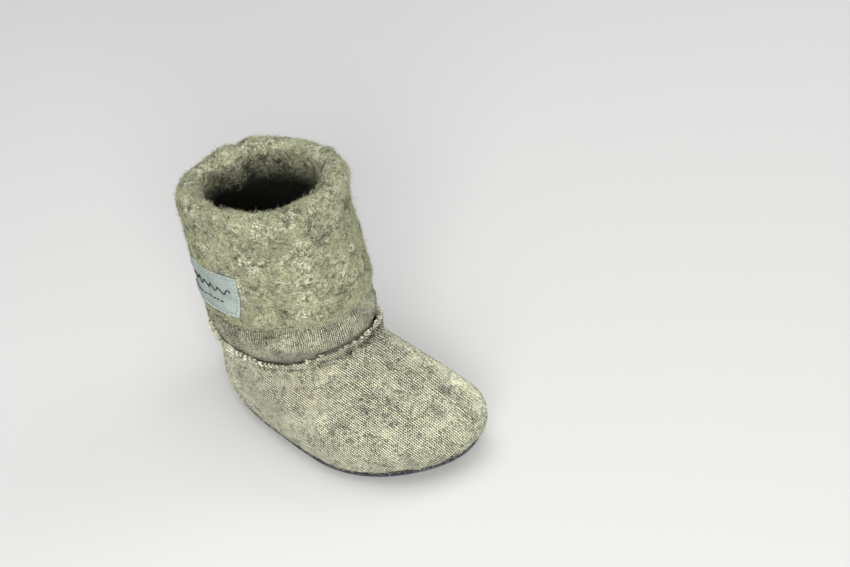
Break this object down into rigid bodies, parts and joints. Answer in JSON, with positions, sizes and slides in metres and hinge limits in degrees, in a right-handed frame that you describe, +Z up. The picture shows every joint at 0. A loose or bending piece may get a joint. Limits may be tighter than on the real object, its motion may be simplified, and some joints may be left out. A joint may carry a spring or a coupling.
{
  "type": "wool slipper bootie",
  "caption": "Soft baby slipper bootie for the right foot: knitted wool foot, felt sole, and a wool leg tube turned down as a fleecy cuff with a blank sewn label.",
  "frame": {"origin": "on the floor under the middle of the whole bootie", "axes": "+X to the toe, +Y to the inner side of the foot, +Z up"},
  "size_m": [0.1374, 0.0665, 0.123],
  "materials": {
    "navy_felt": "dense dark felt",
    "grey_felt": "plain felt",
    "wool_jersey": "fine knitted wool, flecked grey",
    "wool_fleece": "fleecy felted wool, flecked grey",
    "woven_label": "woven tape, left blank"
  },
  "bodies": {
    "root": {"outsole": "navy_felt", "insole": "grey_felt", "upper": "wool_jersey", "shaft": "wool_fleece", "label": "woven_label"}
  },
  "joints": []
}
